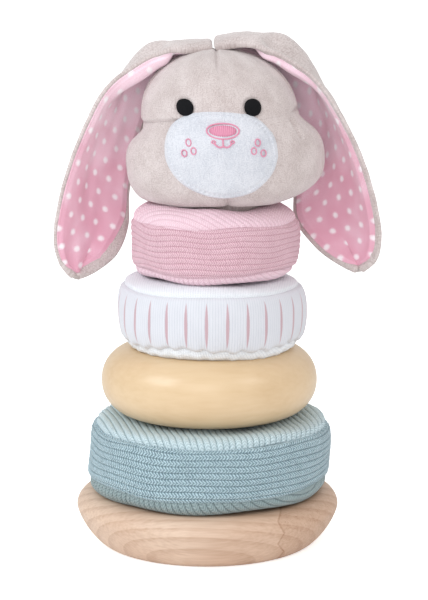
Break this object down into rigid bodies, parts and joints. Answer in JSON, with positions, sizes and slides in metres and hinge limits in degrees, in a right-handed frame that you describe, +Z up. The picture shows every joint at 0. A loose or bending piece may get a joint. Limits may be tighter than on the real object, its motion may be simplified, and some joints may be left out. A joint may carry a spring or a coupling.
{
  "type": "stacking ring toy",
  "caption": "Baby's stacking toy: sewn and turned rings and a plush animal head with lop ears that lift off a dowel on a round wooden base.",
  "frame": {"origin": "centre of the base's flat underside, on the dowel's axis", "axes": "+Z up along the dowel, -Y towards the face, +X to the viewer's right"},
  "size_m": [0.1568, 0.125, 0.2461],
  "materials": {
    "pine": "turned and sanded, clear oil",
    "yellow_paint": "satin paint on turned wood",
    "screw_steel": "zinc-plated",
    "stuffing": "loose polyester fibre",
    "blue_knit": "ribbed knit",
    "white_rib": "fine rib with pink strokes",
    "pink_knit": "ribbed knit",
    "beige_plush": "short-pile plush",
    "white_fleece": "brushed fleece",
    "dotted_lining": "brushed cotton with white dots",
    "black_thread": "satin stitch",
    "pink_thread": "satin stitch"
  },
  "bodies": {
    "base": {"base_disc": "pine", "center_post": "pine", "post_screw": "screw_steel", "screw_plug": "pine"},
    "blue_ring": {"blue_ring_core": "stuffing", "blue_ring_top_panel": "blue_knit", "blue_ring_side_band": "blue_knit", "blue_ring_bottom_panel": "blue_knit", "blue_ring_inner_sleeve": "blue_knit"},
    "yellow_ring": {"yellow_ring": "yellow_paint"},
    "white_ring": {"white_ring_core": "stuffing", "white_ring_top_panel": "white_rib", "white_ring_side_band": "white_rib", "white_ring_bottom_panel": "white_rib", "white_ring_inner_sleeve": "white_rib"},
    "pink_ring": {"pink_ring_core": "stuffing", "pink_ring_top_panel": "pink_knit", "pink_ring_side_band": "pink_knit", "pink_ring_bottom_panel": "pink_knit", "pink_ring_inner_sleeve": "pink_knit"},
    "head": {"head_stuffing": "stuffing", "head_socket_sleeve": "beige_plush", "head_bottom": "beige_plush", "head_forehead_left": "beige_plush", "head_forehead_right": "beige_plush", "head_cheek_left": "beige_plush", "head_cheek_right": "beige_plush", "head_back_left": "beige_plush", "head_back_right": "beige_plush", "muzzle_patch": "white_fleece", "eye_left": "black_thread", "eye_right": "black_thread", "nose": "pink_thread", "mouth": "pink_thread", "mouth_stem": "pink_thread", "freckle_left_1": "pink_thread", "freckle_left_2": "pink_thread", "freckle_left_3": "pink_thread", "freckle_right_1": "pink_thread", "freckle_right_2": "pink_thread", "freckle_right_3": "pink_thread"},
    "ear_left": {"ear_left_outer": "beige_plush", "ear_left_lining": "dotted_lining"},
    "ear_right": {"ear_right_outer": "beige_plush", "ear_right_lining": "dotted_lining"}
  },
  "joints": [
    {"name": "blue_ring_lift", "type": "slide", "parent": "base", "child": "blue_ring", "axis": [0, 0, 1], "range_m": [0, 0.176]},
    {"name": "yellow_ring_lift", "type": "slide", "parent": "blue_ring", "child": "yellow_ring", "axis": [0, 0, 1], "range_m": [0, 0.139]},
    {"name": "white_ring_lift", "type": "slide", "parent": "yellow_ring", "child": "white_ring", "axis": [0, 0, 1], "range_m": [0, 0.105]},
    {"name": "pink_ring_lift", "type": "slide", "parent": "white_ring", "child": "pink_ring", "axis": [0, 0, 1], "range_m": [0, 0.071]},
    {"name": "head_lift", "type": "slide", "parent": "pink_ring", "child": "head", "axis": [0, 0, 1], "range_m": [0, 0.04]},
    {"name": "ear_left_swing", "type": "hinge", "parent": "head", "child": "ear_left", "pos_m": [-0.003, 0.008, 0.243], "axis": [0, 1, 0], "range_deg": [0, 90]},
    {"name": "ear_right_swing", "type": "hinge", "parent": "head", "child": "ear_right", "pos_m": [0.007, 0.008, 0.243], "axis": [0, -1, 0], "range_deg": [0, 90]}
  ]
}
